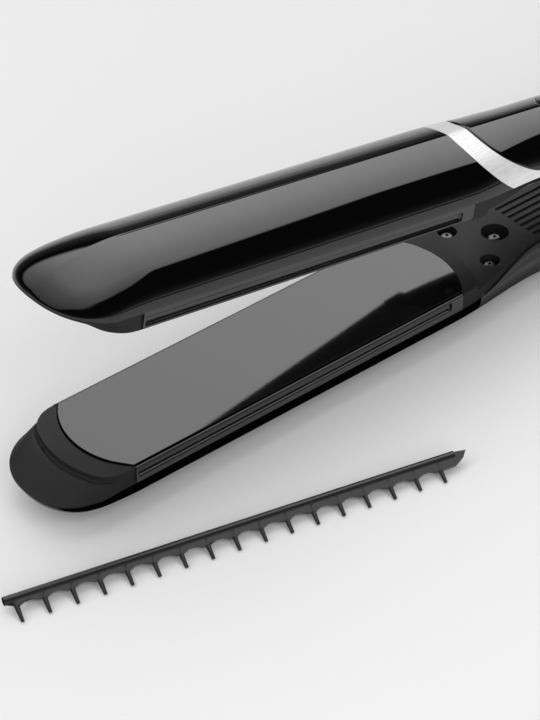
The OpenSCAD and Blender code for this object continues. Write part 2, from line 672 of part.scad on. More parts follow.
module display_window() color([0.1, 0.1, 0.12]) in_upper() intersection() {
    crown_bar(window_x - window_l / 2, window_x + window_l / 2, -0.8, 0.2);
    translate([60, -window_w / 2, 0]) cube([100, window_w, 30]);
}
// Round button with a flange below the bezel; the children are cut into its top as a mark
module round_button(x) in_upper() difference() {
    union() {
        intersection() {
            translate([x, 0, flange_d + 0.7]) cylinder(d = button_d, h = 6);
            crown_bar(x - 6, x + 6, -6, 0.6);
        }
        translate([x, 0, flange_d]) cylinder(d = 8.6, h = 0.8);
        translate([x, 0, switch_d + 0.05 + button_travel]) cylinder(d = 2.6, h = 2);
    }
    intersection() {
        crown_bar(x - 6, x + 6, 0.3, 2);
        translate([x, 0, 0]) linear_extrude(30) children();
    }
}
module power_button() color([0.2, 0.2, 0.2]) round_button(button_x[2]) {
    difference() {
        circle(1.9);
        circle(1.5);
        translate([-1.8, -0.6]) square([1.8, 1.2]);
    }
    translate([-2.2, -0.2]) square([1.7, 0.4]);
}
module plus_button() color([0.2, 0.2, 0.2]) round_button(button_x[1]) {
    square([3.2, 0.5], center = true);
    square([0.5, 3.2], center = true);
}
module minus_button() color([0.2, 0.2, 0.2]) round_button(button_x[0])
    square([0.5, 3.2], center = true);
// Circuit board with the display, a push switch below each button and a few parts
module circuit_board() color([0.1, 0.35, 0.15]) in_upper() {
    top = board_d + 1.6;
    translate([board_x0, -9, board_d]) cube([55, 18, 1.6]);
    translate([window_x - 6.5, -3.6, top - eps]) cube([13, 7.2, crown_d - 4.2 - top]);
    for (x = button_x) {
        translate([x - 3, -3, top - eps]) cube([6, 6, 0.7]);
        translate([x, 0, top]) cylinder(d = 2.6, h = switch_d - top);
    }
    translate([110, -6, board_d - 3.4]) cube([14, 9, 3.4 + eps]);
    translate([130, -5, board_d - 2.6]) cube([6, 6, 2.6 + eps]);
}
// Lock: a ribbed thumb piece on the handle, with a hook that reaches under the lower cover
hook_d = under_d + 1.95;
module lock_slider() color([0.2, 0.2, 0.2]) in_upper() {
    intersection() {
        union() {
            crown_bar(lock_x - 6, lock_x + 9, 0.3, 1.9);
            for (i = [0:4]) crown_bar(lock_x - 4 + i * 2.4, lock_x - 3.1 + i * 2.4, 1.5, 2.4);
        }
        translate([lock_x - 10, -4.5, 0]) cube([30, 9, 30]);
    }
    translate([lock_x, -2.5, -hook_d]) cube([3, 5, crown_d + 0.8 + hook_d]);
    translate([lock_x, -2.5, -hook_d]) cube([5.5, 5, 1.8]);
    // keeper plate below the shell
    translate([lock_x - 1.5, -4, flange_d]) cube([6, 8, 1]);
}
module comb() color([0.05, 0.05, 0.05]) comb_place() comb_body();

lower_front_shell();
lower_handle_shell();
lower_nose_cap();
lower_plate_frame();
lower_handle_cover();
lower_plate();
lower_heater();
lower_plate_carrier();
lower_plate_cushions();
lower_thermal_fuse();
lower_screws();
lower_heater_leads();
upper_front_shell();
trim_band();
upper_handle_shell();
upper_nose_cap();
upper_plate_frame();
upper_handle_cover();
upper_plate();
upper_heater();
upper_plate_carrier();
upper_plate_cushions();
upper_thermal_fuse();
upper_screws();
upper_heater_leads();
hinge_fork();
hinge_tongue();
hinge_pin();
hinge_spring();
cord_swivel();
control_bezel();
display_window();
power_button();
plus_button();
minus_button();
circuit_board();
lock_slider();
comb();
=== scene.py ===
"""Looks of a hair straightener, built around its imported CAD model."""

import json
import math

import bmesh
import bpy
from bpy.props import FloatProperty, FloatVectorProperty, IntProperty, PointerProperty
from mathutils import Matrix, Vector


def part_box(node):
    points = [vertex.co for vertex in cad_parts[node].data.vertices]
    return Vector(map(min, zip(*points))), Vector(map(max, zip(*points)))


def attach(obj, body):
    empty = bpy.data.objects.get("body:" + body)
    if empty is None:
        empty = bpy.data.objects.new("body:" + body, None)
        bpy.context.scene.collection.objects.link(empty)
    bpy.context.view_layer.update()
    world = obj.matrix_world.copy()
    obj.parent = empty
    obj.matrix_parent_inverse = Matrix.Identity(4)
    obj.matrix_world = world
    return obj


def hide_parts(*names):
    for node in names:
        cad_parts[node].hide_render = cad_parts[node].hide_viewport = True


bl_info = {
    "name": "Hair Straightener",
    "version": (1, 0, 0),
    "blender": (4, 5, 0),
    "location": "View3D > Sidebar > Straightener",
    "description": "Builds a hair straightener with gloss shells, heated plates and a comb",
    "category": "Add Mesh",
}

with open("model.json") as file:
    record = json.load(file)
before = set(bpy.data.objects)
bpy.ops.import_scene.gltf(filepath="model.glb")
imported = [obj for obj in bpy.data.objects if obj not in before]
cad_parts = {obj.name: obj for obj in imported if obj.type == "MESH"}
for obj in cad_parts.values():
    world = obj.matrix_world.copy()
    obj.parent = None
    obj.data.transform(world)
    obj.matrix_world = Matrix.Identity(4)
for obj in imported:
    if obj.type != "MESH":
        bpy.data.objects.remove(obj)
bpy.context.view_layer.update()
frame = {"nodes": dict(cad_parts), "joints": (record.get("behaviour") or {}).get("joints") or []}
NODES = frame["nodes"]
MM = 0.001

# The hinge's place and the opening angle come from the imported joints
HINGE = next(j for j in frame["joints"] if j["name"] == "arm_hinge")
HINGE_X = HINGE["pos_m"][0] / MM
ARM_T = HINGE["pos_m"][2] / MM
OPEN_ANGLE = -math.radians(HINGE["range_deg"][0])
HALF_W = (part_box("lower_front_shell")[1].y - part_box("lower_front_shell")[0].y) / 2 / MM


# ---- settings ---------------------------------------------------------------------------


class StraightenerShape(bpy.types.PropertyGroup):
    """Sizes of the shells, in millimetres."""

    wall: FloatProperty(name="Wall", description="Thickness of the outer shells", default=1.8)
    crease: FloatProperty(
        name="Crown line", description="Sharpness of the crown line, 0 is round", default=0.3
    )
    groove: FloatProperty(
        name="Crown groove", description="Depth of the hairline along the crown", default=0.06
    )
    groove_width: FloatProperty(
        name="Groove width", description="Half width of the hairline", default=0.22
    )
    edge: FloatProperty(name="Edge", description="Rounding of the moulded edges", default=0.22)
    stations: IntProperty(name="Stations", description="Rings along a shell", default=90)
    section: IntProperty(name="Section", description="Faces around a shell", default=160)


class StraightenerFinish(bpy.types.PropertyGroup):
    """Colours and roughness of the finishes."""

    gloss: FloatVectorProperty(
        name="Gloss black", description="Colour of the gloss shells", subtype="COLOR",
        size=4, min=0, max=1, default=(0.0015, 0.0015, 0.0017, 1),
    )
    matte: FloatVectorProperty(
        name="Matte black", description="Colour of the frames, caps and covers", subtype="COLOR",
        size=4, min=0, max=1, default=(0.014, 0.014, 0.0145, 1),
    )
    plate: FloatVectorProperty(
        name="Plate", description="Colour of the heated plates' coating", subtype="COLOR",
        size=4, min=0, max=1, default=(0.003, 0.003, 0.003, 1),
    )
    grip: FloatVectorProperty(
        name="Grip", description="Colour of the lower handle", subtype="COLOR",
        size=4, min=0, max=1, default=(0.035, 0.035, 0.036, 1),
    )
    trim: FloatVectorProperty(
        name="Trim", description="Colour of the silver band", subtype="COLOR",
        size=4, min=0, max=1, default=(0.76, 0.76, 0.765, 1),
    )


class StraightenerStage(bpy.types.PropertyGroup):
    """Floor, lights and camera."""

    floor: FloatVectorProperty(
        name="Floor", description="Colour of the floor", subtype="COLOR",
        size=4, min=0, max=1, default=(0.88, 0.88, 0.88, 1),
    )
    softbox_share: FloatProperty(
        name="Softbox share", description="Part of the softbox that lights matte surfaces",
        default=0.3,
    )
    fill: FloatProperty(
        name="Fill", description="Level that the fill lamps give together", default=1.04
    )
    dark: FloatProperty(
        name="Dark", description="Level of the studio beside the softbox", default=0.006
    )
    lens: FloatProperty(name="Lens", description="Focal length", default=147.8, unit="CAMERA")


def shape():
    return bpy.context.scene.straightener_shape


def finish():
    return bpy.context.scene.straightener_finish


# ---- materials --------------------------------------------------------------------------

GRAIN_HEIGHT = 0.2 * MM


def grain_group():
    """Fine grain and a slow cloud under it, both from the position on the piece."""
    group = bpy.data.node_groups.get("MouldedGrain")
    if group:
        return group
    group = bpy.data.node_groups.new("MouldedGrain", "ShaderNodeTree")
    sockets = group.interface
    sockets.new_socket("Vector", in_out="INPUT", socket_type="NodeSocketVector")
    for name in ("Grain scale", "Cloud scale", "Low", "High"):
        sockets.new_socket(name, in_out="INPUT", socket_type="NodeSocketFloat")
    for name in ("Height", "Level", "Shade"):
        sockets.new_socket(name, in_out="OUTPUT", socket_type="NodeSocketFloat")
    nodes, links = group.nodes, group.links
    ins, outs = nodes.new("NodeGroupInput"), nodes.new("NodeGroupOutput")
    fine, cloud = nodes.new("ShaderNodeTexNoise"), nodes.new("ShaderNodeTexNoise")
    fine.inputs["Detail"].default_value = 2.0
    cloud.inputs["Detail"].default_value = 3.0
    ramp = nodes.new("ShaderNodeMapRange")
    ramp.inputs["From Min"].default_value = 0.3
    ramp.inputs["From Max"].default_value = 0.7
    contrast = nodes.new("ShaderNodeMapRange")
    contrast.inputs["From Min"].default_value = 0.35
    contrast.inputs["From Max"].default_value = 0.65
    for a, b in (
        (fine.outputs["Fac"], contrast.inputs["Value"]),
        (contrast.outputs["Result"], outs.inputs["Shade"]),
        (ins.outputs["Vector"], fine.inputs["Vector"]),
        (ins.outputs["Vector"], cloud.inputs["Vector"]),
        (ins.outputs["Grain scale"], fine.inputs["Scale"]),
        (ins.outputs["Cloud scale"], cloud.inputs["Scale"]),
        (cloud.outputs["Fac"], ramp.inputs["Value"]),
        (ins.outputs["Low"], ramp.inputs["To Min"]),
        (ins.outputs["High"], ramp.inputs["To Max"]),
        (fine.outputs["Fac"], outs.inputs["Height"]),
        (ramp.outputs["Result"], outs.inputs["Level"]),
    ):
        links.new(a, b)
    return group


def grained(name, colour, rough, grain, depth, cloud, stretch=(1, 1, 1), metallic=0.0, tone=0.1,
            **sockets):
    """A material whose roughness wanders between two values under a fine grain.

    grain and cloud are the scales of the grain and of the roughness, depth is the grain's
    bump, and stretch draws both out. tone is how much the grain shades the colour.
    """
    mat = bpy.data.materials.new(name)
    mat.use_nodes = True
    nodes, links = mat.node_tree.nodes, mat.node_tree.links
    shader = nodes["Principled BSDF"]
    shader.inputs["Base Color"].default_value = colour
    shader.inputs["Metallic"].default_value = metallic
    for key, value in sockets.items():
        shader.inputs[key.replace("_", " ")].default_value = value
    place = nodes.new("ShaderNodeTexCoord")
    mapping = nodes.new("ShaderNodeMapping")
    mapping.inputs["Scale"].default_value = stretch
    effect = nodes.new("ShaderNodeGroup")
    effect.node_tree = grain_group()
    effect.inputs["Grain scale"].default_value = grain
    effect.inputs["Cloud scale"].default_value = cloud
    effect.inputs["Low"].default_value, effect.inputs["High"].default_value = rough
    bump = nodes.new("ShaderNodeBump")
    bump.inputs["Strength"].default_value = depth
    bump.inputs["Distance"].default_value = GRAIN_HEIGHT
    shades = nodes.new("ShaderNodeMix")
    shades.data_type = "RGBA"
    for key, factor in (("A", 1 - tone), ("B", 1 + tone)):
        next(i for i in shades.inputs if i.name == key and i.type == "RGBA").default_value = (
            *(min(1.0, c * factor) for c in colour[:3]), 1)
    links.new(effect.outputs["Shade"], shades.inputs["Factor"])
    links.new(next(o for o in shades.outputs if o.type == "RGBA"), shader.inputs["Base Color"])
    links.new(place.outputs["Object"], mapping.inputs["Vector"])
    links.new(mapping.outputs["Vector"], effect.inputs["Vector"])
    links.new(effect.outputs["Height"], bump.inputs["Height"])
    links.new(effect.outputs["Level"], shader.inputs["Roughness"])
    links.new(bump.outputs["Normal"], shader.inputs["Normal"])
    return mat


def grey(level):
    return level, level, level, 1


def make_materials():
    """The finishes by name."""
    f = finish()
    return {
        "gloss": grained("GlossBlack", f.gloss, (0.02, 0.035), 900, 0.004, 25, IOR=1.55),
        "matte": grained("MatteBlack", f.matte, (0.38, 0.46), 3500, 0.12, 80),
        "plate": grained("PlateCoating", f.plate, (0.05, 0.07), 2500, 0.01, 30, IOR=1.55),
        "cap": grained("CapBlack", f.matte, (0.45, 0.55), 3500, 0.12, 80,
                       Specular_IOR_Level=0.17),
        "cover": grained("CoverBlack", f.matte, (0.38, 0.46), 3500, 0.12, 80,
                         Specular_IOR_Level=0.14),
        "grip": grained("GripBlack", f.grip, (0.45, 0.55), 3500, 0.12, 80),
        "satin": grained("SatinBlack", f.gloss, (0.16, 0.22), 2500, 0.02, 60, IOR=1.68),
        "trim": grained("SilverBand", f.trim, (0.36, 0.44), 1500, 0.02, 60, (0.08, 1, 1),
                        metallic=0.25, tone=0.06),
        "comb": grained("CombPlastic", grey(0.012), (0.25, 0.32), 2500, 0.05, 90),
        "steel": grained("ScrewSteel", grey(0.1), (0.3, 0.4), 2500, 0.05, 90, metallic=1.0),
        "rubber": grained("SwivelRubber", grey(0.012), (0.55, 0.65), 2500, 0.15, 90),
        "ceramic": grained("HeaterCeramic", (0.75, 0.72, 0.64, 1), (0.6, 0.7), 2500, 0.1, 90),
        "resin": grained("CarrierResin", (0.1, 0.035, 0.02, 1), (0.5, 0.6), 2500, 0.1, 90),
        "silicone": grained("CushionSilicone", (0.45, 0.08, 0.05, 1), (0.45, 0.55), 2500, 0.05,
                            90),
        "sleeve": grained("LeadSleeve", (0.7, 0.66, 0.55, 1), (0.7, 0.8), 2500, 0.3, 200),
        "board": grained("BoardGreen", (0.01, 0.12, 0.04, 1), (0.25, 0.35), 2500, 0.05, 90),
        "display": grained("DisplaySmoke", grey(0.004), (0.03, 0.05), 2500, 0.0, 30),
    }


# The finish of each CAD node
CAD_FINISH = {
    "matte": ["lower_nose_cap", "upper_nose_cap", "lower_plate_frame", "upper_plate_frame",
              "lower_handle_shell", "hinge_fork", "hinge_tongue", "lock_slider",
              "power_button", "plus_button", "minus_button"],
    "cover": ["lower_handle_cover", "upper_handle_cover"],
    "gloss": ["lower_front_shell", "upper_front_shell", "upper_handle_shell", "control_bezel"],
    "plate": ["lower_plate", "upper_plate"],
    "trim": ["trim_band"],
    "comb": ["comb"],
    "steel": ["lower_screws", "upper_screws", "hinge_pin", "hinge_spring",
              "lower_thermal_fuse", "upper_thermal_fuse"],
    "rubber": ["cord_swivel"],
    "ceramic": ["lower_heater", "upper_heater"],
    "resin": ["lower_plate_carrier", "upper_plate_carrier"],
    "silicone": ["lower_plate_cushions", "upper_plate_cushions"],
    "sleeve": ["lower_heater_leads", "upper_heater_leads"],
    "board": ["circuit_board"],
    "display": ["display_window"],
}
MATERIALS = {}
CAD_WELD = 2e-6
CAD_BEVEL_ANGLE, BEVEL_ANGLE = 40, 50  # edges sharper than this are rounded


# ---- shell shapes -----------------------------------------------------------------------

# Stations and depths as in the CAD source, in millimetres: depth counts from the closing face
STRAIGHT = 54.0  # ends of the plate frames, where the handles start to narrow
NECK_END, RIM_END = 84.0, 91.0  # here the shells and the covers have narrowed to the grip
NOSE_X, NOSE_L = -59.5, 16.0  # start and length of the round nose
NOSE_TIP_X = NOSE_X - NOSE_L
NOSE_FALL_X = -50.0  # the crown falls from here to the tip
NOSE_ROUND, CROWN_ROUND = 2.4, 1.7  # powers of the nose's outline from above and from the side
SEAM_START, SEAM_POWER = 2.5, 1.3  # the seam starts to fall this far along the nose
SEAM_D, NOSE_TIP_D, CROWN_D = 5.3, 7.4, 16.9
GRIP_H, RIM_H = 14.0, 9.7  # half widths of the grip and of the covers in it
SPLIT_X = 61.0  # where the lower arm's front shell meets its handle
HANDLE_END, HOOD_END = HINGE_X - 15.5, HINGE_X - 9
DISC_R = 15.3  # room that the upper handle leaves around the hinge

# Edges of the silver band: station at the crown, run to the seam and its power
BAND_FRONT, BAND_REAR = (56.6, 12.3, 2.2), (63.5, 20.8, 2.31)
STRIP_RUN, STRIP_POWER = 35, 30  # the strip along the seam

# The rolled edge of the lower handle
ROLL_SHARE = 0.16  # part of the section
ROLL_LOW, ROLL_H, ROLL_RUN = 0.3, 2.9, 24  # its height grows along the run
ROLL_GAP = 0.45  # to the cover

# Nose cap and lip
PLATE_END_X, PLATE_END_R = -37.5, 22.8  # arc beside the plate's rounded end
LIP_X, LIP_R = -37.4, 28.4  # arc of the lip's edge
LIP_CORNER, LIP_INSET = 4.2, 0.4  # rounding of its corners, and its gap to the arm's side
LIP_D, LIP_FALL, LIP_RUN = 0.45, 0.7, 11.8  # depth at the plate, and its growth over the run
CAP_INSET, CAP_UNDER = 0.5, 1.0  # the face starts below the lip, in from the arm's side
CAP_SIDE = 0.12  # share of the face that runs along the arm's side
CAP_TURN = 0.8  # the face ends here and its rounded edge starts
CAP_STEP = 0.3  # size of the rounded edge
CAP_D, CAP_DOME, CAP_POWER = 1.35, 3.1, 2.1  # depth at the lip's foot, and the dome's fall
FOOT_D, FOOT_W, FOOT_AT = 0.5, 0.45, 0.9  # groove along the foot of the lip
LIP_WALL, LIP_EDGE, CAP_WALL = 3.6, 0.32, 1.2

# The frame's section as (half width, depth), and its rails as (from the arm's side, depth)
TRAY_OUTSIDE = [(10.4, 10.5), (10.4, 6.2), (14.1, 6.2), (14.4, 5.3)]
TRAY_INSIDE = [(15.6, 1.4), (15.6, 1.8), (14.4, 1.8), (14.4, 4.9), (9.2, 4.9), (9.2, 9.5)]
RIDGE = [(0, 4.25), (0.02, 4.0), (0.07, 3.82), (0.16, 3.7), (0.3, 3.6), (0.6, 3.46),
         (0.88, 3.35)]
SLOT_FLOOR = [(0.9, 3.2), (0.9, 1.9)]
BEAD_UNDERSIDE = [(0.5, 1.72), (0.28, 1.6), (0.12, 1.44), (0.03, 1.25), (0, 1.05)]
BEAD_TOP = [(0.03, 0.88), (0.09, 0.76), (0.17, 0.67), (0.44, 0.55), (0.49, 0.62), (0.52, 1.2)]
SLOT_X0, SLOT_X1, SLOT_END_R = -53.4, 50.0, 0.8
SLOT_STEP = 0.01  # between the closed and the open section

# Openings of the upper handle as (start, end, width)
BEZEL_OPENING, LOCK_OPENING = (91.9, 140.1, 12.2), (146.5, 155.5, 5.6)
CUTTER_H = 30  # taller than the arm

# Skins
CAP_GRID, LIP_GRID, BAND_RINGS = (48, 120), (12, 96), 24
HANDLE_WALL, GLOSS_WALL = 1.2, 0.3
NOSE_SHARE = 0.3  # part of a shell's rings that lies on the nose
CROWN_DENSE = 0.65  # how far the columns crowd towards the crown
PART_GAP, HANDLE_GAP, TAIL_GAP = 0.06, 0.04, 0.1
SKIN_RISE = 0.04  # of the upper handle's skin above the CAD shell
MERGE = 1e-6


def lerp(a, b, t):
    return a + (b - a) * t


def ease(t):
    """From 0 to 1 with a soft start and end."""
    c = min(max(t, 0.0), 1.0)
    return c * c * (3 - 2 * c)


def fall(t, power):
    """From 1 to 0 while t goes from 0 to 1, on a rounded curve."""
    return 1.0 if t <= 0 else max(0.0, 1 - t ** power) ** (1 / power)


def rim(x):
    """Half width of the frame and the covers at x."""
    if x < NOSE_X:
        return HALF_W * fall(min(1.0, (NOSE_X - x) / NOSE_L), NOSE_ROUND)
    return lerp(HALF_W, RIM_H, ease((x - STRAIGHT) / (RIM_END - STRAIGHT)))


def side(x):
    """Half width of an outer shell at x."""
    if x < NOSE_X:
        return rim(x)
    return lerp(HALF_W, GRIP_H, ease((x - STRAIGHT) / (NECK_END - STRAIGHT)))


def seam(x):
    """Depth of the edge between an outer shell and the frame or cap."""
    t = max(0.0, NOSE_X - SEAM_START - x) / (NOSE_L - SEAM_START)
    return lerp(SEAM_D, NOSE_TIP_D, min(1.0, t) ** SEAM_POWER)


def crown(x):
    """Depth of the crown line."""
    t = (NOSE_FALL_X - x) / (NOSE_FALL_X - NOSE_TIP_X)
    return lerp(NOSE_TIP_D, CROWN_D, fall(min(1.0, t), CROWN_ROUND))


def crown_angle():
    """Angle of a section's arc between the seam and the crown."""
    c = shape().crease
    return math.acos(c / (1 + c))


def arch(half, base, height, w):
    """Point of a section: w runs from -1 at one seam over 0 at the crown to 1."""
    s = shape()
    top = crown_angle()
    angle = top * (1 - abs(w))
    y = half * ((1 + s.crease) * math.cos(angle) - s.crease)
    line = 0  # the hairline ends where the seam falls to the tip
    if base < SEAM_D + 0.1:
        line = s.groove * math.exp(-((y / s.groove_width) ** 2))
    return math.copysign(y, w), base + height * math.sin(angle) / math.sin(top) - line


def nose_x(u):
    """Stations that crowd towards the tip: u is 0 at the tip and 1 where the nose starts."""
    return NOSE_X - NOSE_L * math.sin(math.radians(90) * (1 - u))


def shell_point(x, w):
    """Point of an outer shell's section at x."""
    y, d = arch(side(x), seam(x), crown(x) - seam(x), w)
    return x, y, d


def band_front(w):
    """Front edge of the silver band."""
    start, run, power = BAND_FRONT
    return start + run * abs(w) ** power


def band_rear(w):
    """Rear edge of the silver band, which runs out into a strip along the seam."""
    start, run, power = BAND_REAR
    return start + run * abs(w) ** power + STRIP_RUN * abs(w) ** STRIP_POWER


def handle_point(x, w):
    """The lower handle shell rolls in over the cover's edge, then turns under."""
    height = lerp(ROLL_LOW, ROLL_H, ease((x - SPLIT_X) / ROLL_RUN))
    share = abs(w)
    if share <= 1 - ROLL_SHARE:
        y, d = arch(side(x), SEAM_D, CROWN_D - SEAM_D, w / (1 - ROLL_SHARE))
        return x, y, d
    t = math.radians(90) * (share - (1 - ROLL_SHARE)) / ROLL_SHARE
    y = lerp(rim(x) + ROLL_GAP, side(x), math.cos(t))
    return x, math.copysign(y, w), SEAM_D - height * math.sin(t)


def plate_arc(y):
    """Where the cap ends beside the plate's rounded end."""
    return PLATE_END_X - math.sqrt(max(0.0, PLATE_END_R ** 2 - y * y))


def lip_edge(y):
    """Where the raised lip ends towards the nose, with its corners rounded."""
    over = max(0.0, (abs(y) - (HALF_W - LIP_INSET - LIP_CORNER)) / LIP_CORNER)
    corner = LIP_CORNER * (1 - math.sqrt(max(0.0, 1 - over * over)))
    return LIP_X - math.sqrt(LIP_R ** 2 - y * y) + corner


def cap_point(u, w):
    """The cap's face: u runs from the plate to the rim and over its rounded edge."""
    spread = (1 - abs(w)) * (1 + CAP_SIDE)
    x_out = lerp(nose_x(1 - min(1.0, spread)), -STRAIGHT,
                 max(0.0, CAP_SIDE - spread) / CAP_SIDE)
    y_out = math.copysign(rim(x_out), w)
    y_in = (HALF_W - CAP_INSET) * w
    x_in = plate_arc(y_in) - CAP_UNDER
    face = min(1.0, u / CAP_TURN)
    turn = max(0.0, (u - CAP_TURN) / (1 - CAP_TURN))
    angle = math.radians(90) * min(1.0, turn * 1.5)
    shrink = 1 - CAP_STEP * (1 - math.sin(angle)) / HALF_W
    x = lerp(x_in, NOSE_X + (x_out - NOSE_X) * shrink, face)
    y = lerp(y_in, y_out * shrink, face)
    t = max(0.0, (-STRAIGHT - x) / (-STRAIGHT - NOSE_TIP_X))
    d = lerp(CAP_D + CAP_DOME * t ** CAP_POWER, seam(x_out) - 2 * CAP_STEP, face ** 3)
    if abs(y) < HALF_W - LIP_INSET:
        from_foot = (x - lip_edge(y)) / FOOT_W + FOOT_AT
        d += FOOT_D * math.exp(-(from_foot ** 2)) * (1 - turn)
    # two thirds of the edge turn down by one step, the rest runs to just above the seam
    d += CAP_STEP * (1 - math.cos(angle)) + (CAP_STEP - 0.02) * max(0.0, turn * 3 - 2)
    return x, y, d


def lip_point(u, w):
    """The raised lip between the plate and the cap's face."""
    y = (HALF_W - LIP_INSET) * w
    x = lerp(plate_arc(y), lip_edge(y), u)
    return x, y, LIP_D + LIP_FALL * max(0.0, -STRAIGHT - x) / LIP_RUN


def frame_section(slot):
    """Half of the frame's section; slot is 1 where the comb's slot is open and 0 beyond."""
    def beside(outline, part):
        return [(HALF_W - out * part, d) for out, d in outline]

    return (TRAY_OUTSIDE + [(HALF_W, SEAM_D)] + beside(RIDGE + SLOT_FLOOR + BEAD_UNDERSIDE, slot)
            + beside(BEAD_TOP, 1) + TRAY_INSIDE)


def to_row(upper):
    """Matrix from arm coordinates in millimetres to the row frame in metres."""
    scale = Matrix.Scale(MM, 4)
    if not upper:
        return scale @ Matrix.Translation((0, 0, ARM_T)) @ Matrix.Diagonal((1, 1, -1, 1))
    return (
        scale @ Matrix.Translation((HINGE_X, 0, ARM_T))
        @ Matrix.Rotation(OPEN_ANGLE, 4, "Y") @ Matrix.Translation((-HINGE_X, 0, 0))
    )


def skin(rows, columns, point, upper, dense=0.0):
    """A grid of rows by columns, laid over point(u, w) with u 0..1 and w -1..1.

    dense draws the columns towards the crown.
    """
    bm = bmesh.new()
    bmesh.ops.create_grid(bm, x_segments=rows, y_segments=columns, size=1)
    matrix = to_row(upper)
    for v in bm.verts:
        w = v.co.y * (1 - dense + dense * v.co.y ** 2)
        v.co = matrix @ Vector(point((v.co.x + 1) / 2, w))
    bmesh.ops.remove_doubles(bm, verts=bm.verts, dist=MERGE)
    return bm


def cut_slot(obj, x0, x1, width):
    """Cuts an opening with round ends through a skin of the upper arm."""
    bm = bmesh.new()
    r = width / 2
    ring = bmesh.ops.create_circle(bm, segments=48, radius=r)["verts"]
    for v in ring:
        v.co.x += x1 - r if v.co.x > MERGE else x0 + r
    face = bm.faces.new(ring)
    top = bmesh.ops.extrude_face_region(bm, geom=[face])["geom"]
    raised = [e for e in top if isinstance(e, bmesh.types.BMVert)]
    bmesh.ops.translate(bm, vec=(0, 0, CUTTER_H), verts=raised)
    bmesh.ops.transform(bm, matrix=to_row(True), verts=bm.verts)
    bmesh.ops.recalc_face_normals(bm, faces=bm.faces)
    mesh = bpy.data.meshes.new("cutter")
    bm.to_mesh(mesh)
    bm.free()
    cutter = bpy.data.objects.new("cutter", mesh)
    bpy.context.collection.objects.link(cutter)
    cut = obj.modifiers.new("Slot", "BOOLEAN")
    cut.operation, cut.solver, cut.object = "DIFFERENCE", "EXACT", cutter
    graph = bpy.context.evaluated_depsgraph_get()
    result = bpy.data.meshes.new_from_object(obj.evaluated_get(graph), depsgraph=graph)
    obj.modifiers.clear()
    old, name = obj.data, obj.data.name
    obj.data = result
    bpy.data.meshes.remove(old)
    result.name = name
    bpy.data.objects.remove(cutter)
    bpy.data.meshes.remove(mesh)


def face_outwards(bm, upper):
    """Turns the skin's faces away from the arm's inside."""
    bm.normal_update()
    up = to_row(upper).to_3x3() @ Vector((0, 0, 1))
    if sum(f.normal.dot(up) * f.calc_area() for f in bm.faces) < 0:
        bmesh.ops.reverse_faces(bm, faces=bm.faces)


def face_inwards(bm, upper):
    """Turns the skin's faces towards the other arm."""
    face_outwards(bm, upper)
    bmesh.ops.reverse_faces(bm, faces=bm.faces)


def add_piece(name, bm, material, body, replaces=(), wall=None, edge=None, angle=35):
    """Turns a bmesh into a finished piece that rides on its body.

    wall is its thickness and edge the rounding of its edges, in millimetres; creases beyond
    angle stay sharp.
    """
    mesh = bpy.data.meshes.new(name)
    bm.to_mesh(mesh)
    bm.free()
    obj = bpy.data.objects.new(name, mesh)
    bpy.context.collection.objects.link(obj)
    mesh.materials.append(MATERIALS[material])
    mesh.shade_smooth()
    if wall:
        thick = obj.modifiers.new("Wall", "SOLIDIFY")
        thick.thickness = wall * MM
        thick.offset = -1
    if edge:
        bevel = obj.modifiers.new("Edge", "BEVEL")
        bevel.width = edge * MM
        bevel.segments = 2
        bevel.limit_method = "ANGLE"
        bevel.angle_limit = math.radians(BEVEL_ANGLE)
        bevel.harden_normals = True
    mesh.set_sharp_from_angle(angle=math.radians(angle))
    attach(obj, body)
    if replaces:
        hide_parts(*replaces)
    return obj


# ---- operators --------------------------------------------------------------------------


class STRAIGHTENER_OT_finishes(bpy.types.Operator):
    """Give every CAD node its material, with welded and softened edges"""

    bl_idname = "straightener.finishes"
    bl_label = "Finishes"

    def execute(self, context):
        MATERIALS.update(make_materials())
        for finish_name, names in CAD_FINISH.items():
            for name in names:
                obj = NODES[name]
                obj.data.materials.clear()
                obj.data.materials.append(MATERIALS[finish_name])
                weld = obj.modifiers.new("Weld", "WELD")
                weld.merge_threshold = CAD_WELD
                bevel = obj.modifiers.new("Edge", "BEVEL")
                bevel.width = shape().edge * MM
                bevel.segments = 2
                bevel.limit_method = "ANGLE"
                bevel.angle_limit = math.radians(CAD_BEVEL_ANGLE)
                weighted = obj.modifiers.new("Flat faces", "WEIGHTED_NORMAL")
                weighted.weight = 100
                obj.data.shade_smooth()
        return {"FINISHED"}


class STRAIGHTENER_OT_front_shells(bpy.types.Operator):
    """Build the gloss shells around the heated plates"""

    bl_idname = "straightener.front_shells"
    bl_label = "Front shells"

    def execute(self, context):
        s = shape()

        def station(u, end):
            if u < NOSE_SHARE:
                return nose_x(u / NOSE_SHARE)
            return lerp(NOSE_X, end, (u - NOSE_SHARE) / (1 - NOSE_SHARE))

        def upper(u, w):
            return shell_point(station(u, band_front(w) - PART_GAP), w)

        def lower(u, w):
            x, y, d = shell_point(station(u, SPLIT_X - PART_GAP), w)
            return x, y, min(d, ARM_T)  # a flat land lies on the table

        for name, point, body in (
            ("upper_front_shell", upper, "upper_arm"),
            ("lower_front_shell", lower, "lower_arm"),
        ):
            up = body == "upper_arm"
            bm = skin(s.stations, s.section, point, up, CROWN_DENSE)
            face_outwards(bm, up)
            add_piece(f"{name}_gloss", bm, "gloss", body, [name], s.wall, s.edge)
        return {"FINISHED"}


